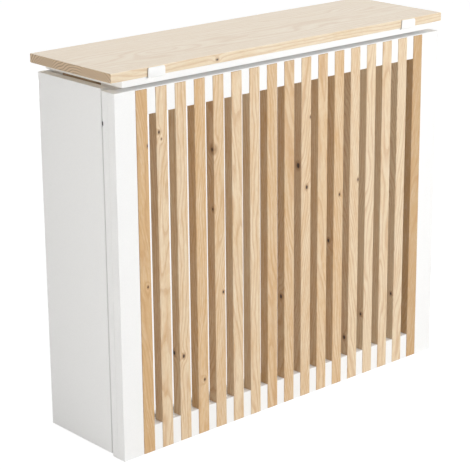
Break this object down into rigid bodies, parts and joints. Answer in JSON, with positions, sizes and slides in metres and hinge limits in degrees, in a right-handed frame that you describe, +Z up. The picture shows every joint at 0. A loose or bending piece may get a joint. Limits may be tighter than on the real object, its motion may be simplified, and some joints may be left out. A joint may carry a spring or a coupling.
{
  "type": "radiator cover cabinet",
  "caption": "White radiator cover cabinet with an open back, a pull-off front of upright oak slats and a lift-off oak shelf held by two upturned steel clips.",
  "frame": {"origin": "on the floor, under the middle of the whole cabinet with its shelf and clips", "axes": "+X along the width to the right seen from the front, +Y back to the wall, +Z up; the slatted front faces -Y"},
  "size_m": [0.95, 0.2732, 0.8232],
  "materials": {
    "white_lacquer": "satin white lacquer sprayed on board",
    "oak_slats": "planed solid oak, matt oiled",
    "oak_board": "planed solid oak, matt oiled",
    "pine_batten": "sawn pine, left raw",
    "zinc_steel": "zinc plated",
    "white_steel": "white powder coat",
    "beech": "turned beech dowel",
    "ferrite": "pressed ferrite magnet",
    "nylon": "moulded nylon"
  },
  "bodies": {
    "carcass": {"side_left": "white_lacquer", "side_right": "white_lacquer", "rear_rail": "white_lacquer", "bottom_stretcher": "white_lacquer", "spacer_batten_left": "pine_batten", "spacer_batten_right": "pine_batten", "under_board": "white_lacquer", "shelf_clip_left": "white_steel", "shelf_clip_right": "white_steel", "clip_screw_left": "zinc_steel", "clip_screw_right": "zinc_steel", "board_screw_left_front": "zinc_steel", "board_screw_left_back": "zinc_steel", "board_screw_right_front": "zinc_steel", "board_screw_right_back": "zinc_steel", "glide_left_front": "nylon", "glide_left_back": "nylon", "glide_right_front": "nylon", "glide_right_back": "nylon", "locating_pin_left": "zinc_steel", "locating_pin_right": "zinc_steel", "strike_plate_left": "zinc_steel", "strike_plate_right": "zinc_steel", "rear_dowel_left": "beech", "rear_dowel_right": "beech", "wall_bracket_left": "zinc_steel", "wall_bracket_right": "zinc_steel", "wall_bracket_screw_left": "zinc_steel", "wall_bracket_screw_right": "zinc_steel"},
    "front_panel": {"stile_left": "white_lacquer", "stile_right": "white_lacquer", "return_left": "white_lacquer", "return_right": "white_lacquer", "rail_top": "white_lacquer", "rail_bottom": "white_lacquer", "slat_01": "oak_slats", "slat_02": "oak_slats", "slat_03": "oak_slats", "slat_04": "oak_slats", "slat_05": "oak_slats", "slat_06": "oak_slats", "slat_07": "oak_slats", "slat_08": "oak_slats", "slat_09": "oak_slats", "slat_10": "oak_slats", "slat_11": "oak_slats", "slat_12": "oak_slats", "slat_13": "oak_slats", "slat_14": "oak_slats", "slat_15": "oak_slats", "slat_16": "oak_slats", "slat_17": "oak_slats", "catch_magnet_left": "ferrite", "catch_magnet_right": "ferrite", "frame_screw_top_left": "zinc_steel", "frame_screw_top_right": "zinc_steel", "frame_screw_bottom_left": "zinc_steel", "frame_screw_bottom_right": "zinc_steel"},
    "shelf": {"oak_shelf": "oak_board"}
  },
  "joints": [
    {"name": "front_panel_pull", "type": "slide", "parent": "carcass", "child": "front_panel", "axis": [0, -1, 0], "range_m": [0, 0.25]},
    {"name": "shelf_lift", "type": "slide", "parent": "carcass", "child": "shelf", "axis": [0, 0, 1], "range_m": [0, 0.12]}
  ]
}
